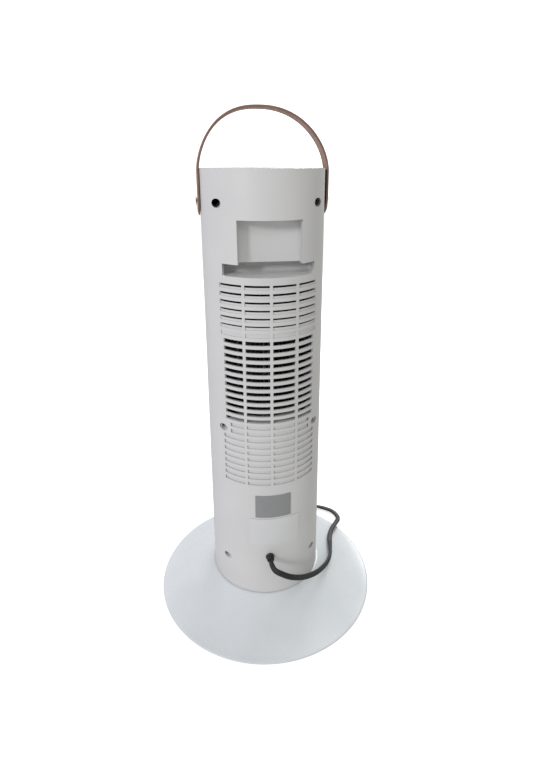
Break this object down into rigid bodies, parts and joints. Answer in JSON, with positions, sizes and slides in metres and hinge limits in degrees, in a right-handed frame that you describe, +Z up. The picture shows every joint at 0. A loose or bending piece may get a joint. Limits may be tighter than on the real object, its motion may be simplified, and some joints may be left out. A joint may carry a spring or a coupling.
{
  "type": "tower fan heater",
  "caption": "Conical tower fan heater on a round swivelling base, with a leather strap handle, a slotted back, a remote-control pocket and push-buttons on top.",
  "frame": {"origin": "on the floor under the middle of the base", "axes": "+Z up the tower, -Y the way the warm air leaves, +Y the back with the slots and the cord"},
  "size_m": [0.305, 0.4756, 0.6155],
  "materials": {
    "white_plastic": "satin",
    "base_white": "semi-gloss",
    "grey_plastic": "satin",
    "dark_plastic": "satin",
    "black_plastic": "satin",
    "black_gloss": "gloss",
    "acetal": "satin",
    "rubber": "matt",
    "steel": "plain",
    "black_steel": "black oxide",
    "zinc": "zinc plated",
    "bronze": "aged",
    "copper": "enamelled copper wire",
    "aluminium": "mill",
    "ceramic": "matt",
    "board_green": "satin",
    "leather": "smooth",
    "foil": "satin foil",
    "paper": "matt paper",
    "cord_black": "satin"
  },
  "bodies": {
    "base": {"base_cover": "base_white", "base_plate": "grey_plastic", "base_weight": "steel", "foot_ring": "rubber", "centre_bolt": "zinc", "swivel_post": "acetal", "glide_ring": "acetal", "thrust_washer": "steel", "swivel_gear": "acetal", "gear_nut": "zinc"},
    "tower": {"rear_shell": "white_plastic", "front_shell": "white_plastic", "air_guide": "white_plastic", "outlet_grille": "dark_plastic", "top_cap": "white_plastic", "display_window": "black_gloss", "control_board": "board_green", "handle_strap": "leather", "strap_rivet_left": "bronze", "strap_rivet_right": "bronze", "shell_screw_1": "black_steel", "shell_screw_2": "black_steel", "shell_screw_3": "black_steel", "shell_screw_4": "black_steel", "shell_screw_5": "black_steel", "shell_screw_6": "black_steel", "tower_floor": "white_plastic", "chassis": "steel", "blower_housing": "dark_plastic", "top_bearing": "rubber", "motor_core": "steel", "motor_coil": "copper", "motor_bracket_lower": "zinc", "motor_bracket_upper": "zinc", "heater_frame": "black_plastic", "heater_core": "aluminium", "thermal_cutout": "zinc", "thermal_fuse": "ceramic", "board_tray": "black_plastic", "power_board": "board_green", "relay": "black_plastic", "terminal_block": "grey_plastic", "tilt_switch": "black_plastic", "swivel_motor": "steel", "rating_label": "foil", "paper_label": "paper", "strain_relief": "cord_black", "inner_lead": "cord_black", "cord_tube": "cord_black", "cord_coil": "cord_black", "cord_tie": "cord_black", "plug": "cord_black"},
    "fan": {"blower_wheel": "black_plastic", "motor_shaft": "steel", "motor_rotor": "steel"},
    "pinion": {"drive_pinion": "acetal"},
    "power_button": {"power_button": "grey_plastic"},
    "heat_button": {"heat_button": "grey_plastic"},
    "timer_button": {"timer_button": "grey_plastic"},
    "swivel_button": {"swivel_button": "grey_plastic"}
  },
  "joints": [
    {"name": "tower_swivel", "type": "hinge", "parent": "base", "child": "tower", "pos_m": [0, 0, 0.04], "axis": [0, 0, 1], "range_deg": [-35, 35]},
    {"name": "pinion_turn", "type": "hinge", "parent": "tower", "child": "pinion", "pos_m": [0, -0.0378, 0.048], "axis": [0, 0, 1], "range_deg": [-145, 145]},
    {"name": "fan_spin", "type": "hinge", "parent": "tower", "child": "fan", "pos_m": [0, 0, 0.344], "axis": [0, 0, 1], "continuous": true},
    {"name": "power_press", "type": "slide", "parent": "tower", "child": "power_button", "axis": [0, 0, -1], "range_m": [0, 0.001], "stiffness_N_per_m": 600, "springref_m": -0.0008},
    {"name": "heat_press", "type": "slide", "parent": "tower", "child": "heat_button", "axis": [0, 0, -1], "range_m": [0, 0.001], "stiffness_N_per_m": 600, "springref_m": -0.0008},
    {"name": "timer_press", "type": "slide", "parent": "tower", "child": "timer_button", "axis": [0, 0, -1], "range_m": [0, 0.001], "stiffness_N_per_m": 600, "springref_m": -0.0008},
    {"name": "swivel_press", "type": "slide", "parent": "tower", "child": "swivel_button", "axis": [0, 0, -1], "range_m": [0, 0.001], "stiffness_N_per_m": 600, "springref_m": -0.0008}
  ],
  "couplings": [
    {"joint": "pinion_turn", "follows": "tower_swivel", "ratio": 4}
  ]
}
